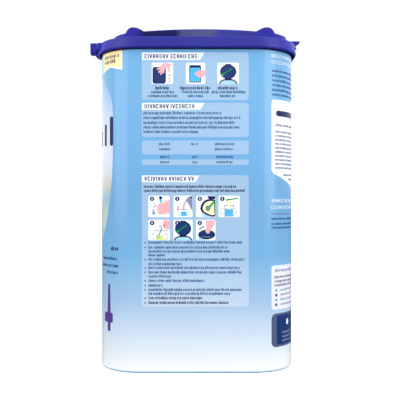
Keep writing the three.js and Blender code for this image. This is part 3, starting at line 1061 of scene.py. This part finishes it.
def motif_stir(m):
    """A rosy hand that stirs a two-handled cup with a thin spoon."""
    m.shape("pink", 3, [(2.5, 5.4), (6.0, 5.4), (6.0, 0.6), (3.6, 0.3), (2.3, 1.3), (1.8, 2.9)])
    for side in (-1, 1):
        m.ring("haze", 3, 0.5 + side * 3.2, -3.6, 1.4, 1.9, 0.26)
    m.box("white", 5, -2.0, -5.6, 3.0, -0.4)
    m.box("lime", 6, -1.7, -5.5, 2.7, -3.0, 0.2)
    m.ring("slate", 7, -0.4, -3.4, 0.8, 1.2, 0.25, "lime")
    m.line("slate", 6, (-2.8, -0.4), (5.1, -0.4), 0.32)
    m.line("navy", 9, (1.5, 1.3), (0.2, -2.4), 0.4)
    m.line("navy", 6, (0.2, 2.5), (1.3, 1.9), 0.4)
    m.line("navy", 6, (2.6, 2.4), (3.5, 3.0), 0.3)


def motif_press(m):
    """A rosy hand that reaches down to a dark round lid."""
    m.shape("pale", 3, [(-4.2, -3.2), (-0.4, -5.5), (-3.8, -5.6)])
    m.disc("navy", 4, 0.5, -2.5, 4.7, 2.7)
    m.disc("deep", 5, 0.5, -1.9, 3.9, 1.6)
    m.art.disc("slate", m.s + 0.5, m.z - 3.1, 3.7, 1.2, 5, math.pi * 1.1, math.pi * 1.9)
    m.shape("pink", 7, [
        (0.3, 5.4), (5.1, 5.4), (4.8, 2.9), (3.8, 1.5), (2.8, 0.2), (2.0, -1.8), (0.6, -1.9),
        (-0.2, -0.7), (0.4, 1.3), (0.2, 3.5),
    ])
    m.line("slate", 3, (-3.3, 0.6), (-1.2, 2.1), 0.7)


def badge(art, s, z):
    """A small dark step mark at a tile's corner."""
    art.disc("navy", s, z, 1.25, 1.25, 9, steps=16)
    art.patch("white", s - 0.22, z - 0.6, s + 0.22, z + 0.6, 10)


def near_side(art):
    """Panels, tables and pictograms, as in the photograph, with plain strokes for words."""
    titled_panel(art, 151.8, 178.2, 174.1, 4.3, -0.2)
    tiles = (
        (-24.8, 11.9, motif_pack, (-23.0, -14.2), (-25.2, -12.3), (-26.8, -10.3)),
        (-5.8, 10.7, motif_tub, (-9.1, 8.1), (-8.1, 7.0), (-4.8, 4.1)),
        (11.7, 11.9, motif_lid, (12.0, 23.1), (8.6, 27.1), (13.1, 22.0)),
    )
    for s, width, motif, caption, middle, low in tiles:
        motif(tile(art, s, 172.5, width, 11.8))
        art.words("title", *caption, 158.4, 1.45)
        art.words("text", *middle, 156.2, 1.15)
        art.words("text", *low, 154.0, 1.15)
    titled_panel(art, 131.3, 150.3, 146.4, 4.4, -0.4)
    for z, right in ((144.5, 14), (141.9, 25), (139.2, 21), (136.6, 24), (134.1, 1.5)):
        art.words("text", -29.4, right, z, 1.15)
    art.block("panel", PANEL_LEFT, 121.6, PANEL_RIGHT, 129.3, 1, 1.0)
    art.block("panel", PANEL_LEFT, 115.8, PANEL_RIGHT, 118.8, 1, 0.6)
    for left, right in ((-20.8, -14.1), (-3.0, 1.4), (10.3, 20.9)):
        art.words("text", left, right, 127.3, 1.1)
        art.words("text", left + 0.6, right - 0.6, 120.2, 1.0)
        art.words("text", left + 0.6, right - 0.6, 117.3, 1.0)
    for left, right in ((-20.6, -13.8), (10.3, 20.9)):
        art.words("text", left, right, 124.5, 1.1)
    titled_panel(art, 37.1, 110.0, 106.2, 1.6, -2.2)
    art.words("title", -29.2, 22, 103.7, 1.15)
    art.words("title", -29.2, 27.4, 101.4, 1.15)
    rows = (
        (98.7, 11.9, (
            (-26.7, 11.9, motif_wash), (-12.7, 10.6, motif_pour),
            (-0.2, 10.8, motif_open), (12.3, 11.7, motif_cup),
        )),
        (85.3, 11.4, ((-26.7, 11.9, motif_stir), (-12.7, 10.6, motif_lid), (-0.2, 10.8, motif_press))),
    )
    for top, height, row in rows:
        for s, width, motif in row:
            motif(tile(art, s, top, width, height))
            badge(art, s + 2.1, top - 1.7)
    lines = (
        (72.7, 26), (69.9, 18), (67.7, 19), (65.6, -17), (63.2, 27), (60.7, -8), (58.6, 24), (56.1, 25),
        (53.8, -14), (51.4, 5), (48.8, -18), (46.4, 26), (44.2, 19), (41.8, 3), (39.2, 18),
    )
    for index, (z, right) in enumerate(lines):
        ink_name = "title" if index in (13, 14) else "text"
        art.words(ink_name, -26.6, right, z, 1.15)
        if index in (0, 1, 4, 6, 7, 9, 10, 11, 13, 14):
            art.block("text", -28.8, z - 0.4, -28.1, z + 0.4, 3)


# Layout of the side under the hinge
HINGE_LEFT = 42.3
HINGE_MIDDLE = SIDE_RUN


def hinge_side(art):
    """Headings, a white panel that comes to a point, a smaller panel and a dark box."""
    left, right = HINGE_LEFT, 2 * HINGE_MIDDLE - HINGE_LEFT
    for z, end in ((177.0, right - 26), (173.6, left + 24)):
        letter_row(art, left, end, z, 1.9, "white", 0.12)
    for k, short in enumerate((6, 2, 10, 4, 12, 30)):
        art.words("text", left + 0.3, right - short, 168.6 - 2.65 * k, 1.1)
    panel = [
        (left + 1.6, 152.6), (left + 0.4, 152.0), (left, 150.6), (left, 112.9),
        (left + 1.6, 111.0), (HINGE_MIDDLE, 88.6), (right - 1.6, 111.0), (right, 112.9),
        (right, 150.6), (right - 0.4, 152.0), (right - 1.6, 152.6),
    ]
    art.add("white", panel, 1)
    art.patch("navy", left + 3, 143.4, right - 3, 146.6, 2, 1.6)
    art.words("violet", left + 2.6, right - 20, 138.4, 1.1)
    for k in range(10):
        art.words("text", left + 2.6, right - 4 - 3 * (k % 3), 134.6 - 2.25 * k, 0.95)
    for k in range(3):
        art.words("text", left + 9 + 6 * k, right - 12 - 6 * k, 110.5 - 2.4 * k, 1.0)
    for z, end in ((95.9, left + 23), (92.2, left + 21)):
        letter_row(art, left, end, z, 1.9, "white", 0.12)
    art.block("slate", left, 88.3, left + 15, 88.7, 2)
    for z in (85.7, 82.9, 80.7):
        art.words("text", left, left + 22, z, 1.0)
    art.block("paper", left, 34.8, right, 59.6, 1, 1.4)
    art.words("haze", left + 2.4, right - 10, 56.6, 1.3)
    for z in (53.0, 50.6, 48.4):
        art.words("slate", left + 2, right - 8, z, 1.1)
    for k in range(4):
        z = 45.6 - 2.7 * k
        art.oval("slate" if k % 2 else "sky", left + 3.2, z, 0.9, 0.9, 3, steps=12)
        art.words("haze", left + 6.4, right - 14, z, 0.9)
    art.block("border", left, 13.7, right, 32.6, 1, 3.0)
    art.block("deep", left + 3.6, 14.9, right - 3.6, 31.4, 2, 1.5)
    art.oval("white", left + 13.2, 27.0, 1.2, 1.7, 3, steps=16)
    for z in (21.4, 19.0, 16.8):
        art.words("haze", left + 8, right - 8, z, 0.9)


# Layout of the side under the thumb tab
FRONT_EDGE = -42.3
FRONT_MIDDLE = -SIDE_RUN
PENNANT_TOP = 181


def front_side(art):
    """Gold pennants, a large pale oval, rising bars and a plain violet scoop, with no name on them."""
    middle = FRONT_MIDDLE
    mirrored = [(2 * middle - s, z) for s, z in reversed(OVAL_EDGE)]
    crown = [(middle - 20, 172.6), (middle, 173.6), (middle + 20, 172.6)]
    foot = [(middle + 20, 63.4), (middle, 61.8), (middle - 20, 63.4)]
    art.add("oval", OVAL_EDGE + foot + mirrored + crown, 1)
    left = 2 * middle - FRONT_EDGE
    for low, high in ((-58.6, FRONT_EDGE), (left, left + 16.3)):
        for ink_name, rim, notch, layer in (("white", 0.6, 171.2, 2), ("gold", 0.0, 172.2, 3)):
            tip, left_rim, right_rim = notch - 2.2, low - rim, high + rim
            art.add(ink_name, [
                (left_rim, tip), ((low + high) / 2, notch), (right_rim, tip),
                (right_rim, PENNANT_TOP), (left_rim, PENNANT_TOP),
            ], layer)
        # A strip of darker gold on the outer part of each pennant is painted shade
        edge = low if low > left + 30 else high - 7
        art.patch("amber", edge, 172.0, edge + 7, PENNANT_TOP, 3.5)
        for z in (177.2, 174.4):
            art.words("navy", low + 2, high - 1.4 if z > 176 else high - 3.6, z, 1.65, layer=4)
    art.words("title", -50.0, -44.1, 68.8, 1.7)
    for z, start in ((63.2, -59.5), (59.2, -60.0), (55.4, -54.0)):
        art.words("text", start, -44.3, z, 1.3)
    art.block("teal", -59.0, 66.2, -44.0, 66.5, 2)
    for s, width, high in ((-62.0, 2.4, 136.0), (-55.6, 2.6, 139.5), (-49.6, 2.8, 143.5)):
        art.patch("navy", s - width / 2, 127.0, s + width / 2, high, 4, 1.1)
    scoop(art, -51.7)


def scoop(art, s):
    """A plain upright scoop: a tapering handle, a square bowl and a short stem."""
    art.start()
    art.add("violet", [
        (s - 1.8, 32.4), (s + 1.3, 32.4), (s + 0.9, 48.2), (s + 0.3, 48.9), (s - 0.5, 48.9),
        (s - 1.0, 48.2),
    ], 2)
    art.patch("violet", s - 5.0, 27.0, s + 3.2, 32.6, 3, 0.8)
    art.patch("violet", s - 1.5, 22.0, s + 1.2, 27.2, 2, 0.4)


# Layout of the far side, which the photograph doesn't show
FAR_MIDDLE = 2 * SIDE_RUN


def far_side(art):
    """A plain table of values under a title, in the style of the near side."""
    left, right = FAR_MIDDLE - 29.7, FAR_MIDDLE + 29.7
    art.block("panel", left, 60.0, right, 178.2, 1, PANEL_ROUND)
    art.add("white", [(left, 174.1), (left + 31.4, 174.1), (left + 34.4, 178.2), (left, 178.2)], 2)
    letter_row(art, left + 1.4, left + 29, 176.1, 2.2)
    for k in range(24):
        z = 170.8 - 4.4 * k
        if k % 2:
            art.block("white", left + 1.4, z - 2.0, right - 1.4, z + 2.0, 2, 0.4)
        art.words("text", left + 2.4, left + art.rng.uniform(14, 26), z, 1.1)
        for column in (36, 48):
            art.words("text", left + column, left + column + 6, z, 1.1)
    art.block("panel", left, 37.1, right, 56.0, 1, PANEL_ROUND)
    for k in range(5):
        art.words("text", left + 1.4, right - 4 - 5 * (k % 3), 52.8 - 3.1 * k, 1.0)


# Studio

WORLD_LIGHT = 1.29
FLOOR_GLOW = 0.6
FLOOR_SIZE = 20.0
CARD_DROP = 0.002
CARD_GREY = 0.14
BACKDROP_RADIUS = 18.0
BACKDROP_GLOW = 1.05

# Softboxes a metre away: name, azimuth in degrees, width, power in watts
SOFTBOXES = [
    ("left_softbox", -57, 0.68, 7.4),
    ("right_softbox", 51, 0.56, 8.5),
]
SOFTBOX_TALL = 1.3
SOFTBOX_HEIGHT = 0.25
SOFTBOX_DISTANCE = 1.0
SOFTBOX_AIM = (0, 0, 0.1)


def stage_piece(bm, name, nodes):
    piece = new_piece(bm, name, nodes.material)
    return piece


def sheet(z):
    bm = bmesh.new()
    size = FLOOR_SIZE
    corners = ((-size, -size, z), (size, -size, z), (size, size, z), (-size, size, z))
    bm.faces.new([bm.verts.new(corner) for corner in corners])
    return bm


def make_floor():
    """A pale glowing floor, and a dark card under it that keeps light off the pack's undersides."""
    nodes = Nodes("floor_paper")
    nodes.paint((0.9, 0.9, 0.9, 1.0), 0.995, 1.005, 3)
    put(nodes.shader, {
        "Roughness": 0.9, "Specular IOR Level": 0.0,
        "Emission Color": WHITE, "Emission Strength": FLOOR_GLOW,
    })
    floor = stage_piece(sheet(0.0), "floor", nodes)
    floor.visible_diffuse = floor.visible_glossy = False
    dark = Nodes("card_paper")
    put(dark.shader, {
        "Base Color": (CARD_GREY, CARD_GREY, CARD_GREY, 1.0), "Roughness": 1.0, "Specular IOR Level": 0.0,
    })
    card = stage_piece(sheet(-CARD_DROP), "card", dark)
    card.visible_camera = False


def make_backdrop():
    """A white dome that only the camera sees, so that it adds no light."""
    bm = bmesh.new()
    bmesh.ops.create_uvsphere(bm, u_segments=48, v_segments=24, radius=BACKDROP_RADIUS)
    nodes = Nodes("backdrop_paper")
    put(nodes.shader, {
        "Base Color": (0.0, 0.0, 0.0, 1.0), "Emission Color": WHITE, "Emission Strength": BACKDROP_GLOW,
    })
    dome = stage_piece(bm, "backdrop", nodes)
    dome.visible_diffuse = dome.visible_glossy = dome.visible_shadow = False
    dome.visible_transmission = dome.visible_volume_scatter = False


def softbox(name, azimuth, width, power):
    """A soft rectangular light. Azimuth 0 is in front of the near side, positive towards +X."""
    light = bpy.data.lights.new(name, "AREA")
    light.shape = "RECTANGLE"
    light.size, light.size_y = width, SOFTBOX_TALL
    light.energy = power
    lamp = bpy.data.objects.new(name, light)
    turn = math.radians(azimuth)
    lamp.location = (
        SOFTBOX_DISTANCE * math.sin(turn), -SOFTBOX_DISTANCE * math.cos(turn), SOFTBOX_HEIGHT,
    )
    lamp.visible_camera = False
    lamp.rotation_euler = (Vector(SOFTBOX_AIM) - lamp.location).to_track_quat("-Z", "Y").to_euler()
    bpy.context.scene.collection.objects.link(lamp)


def make_studio():
    make_floor()
    make_backdrop()
    world = bpy.data.worlds.new("studio")
    world.use_nodes = True
    put(world.node_tree.nodes["Background"], {"Color": WHITE, "Strength": WORLD_LIGHT})
    bpy.context.scene.world = world
    for light in SOFTBOXES:
        softbox(*light)
    camera = bpy.data.cameras.new("camera")
    camera.lens = CAMERA_LENS
    camera.sensor_width = SENSOR
    camera.clip_start = 0.01
    eye = bpy.data.objects.new("camera", camera)
    eye.location = (CAMERA_X * MM, -(TUB_HALF + CAMERA_DISTANCE) * MM, CAMERA_HEIGHT * MM)
    eye.rotation_euler = (QUARTER, 0, 0)
    bpy.context.scene.collection.objects.link(eye)
    bpy.context.scene.camera = eye
    bpy.context.scene.view_settings.view_transform = "Standard"


make_studio()
make_tub()
make_collar(closure_plastic("collar_moulding", "2a2c8e", 0.38, COLLAR_SHINE, collar_painted_shade_and_light))
make_lid(closure_plastic("lid_moulding", "2a2b92", 0.4, LID_SHINE, wall_painted_shadow_and_sheen))
make_print()
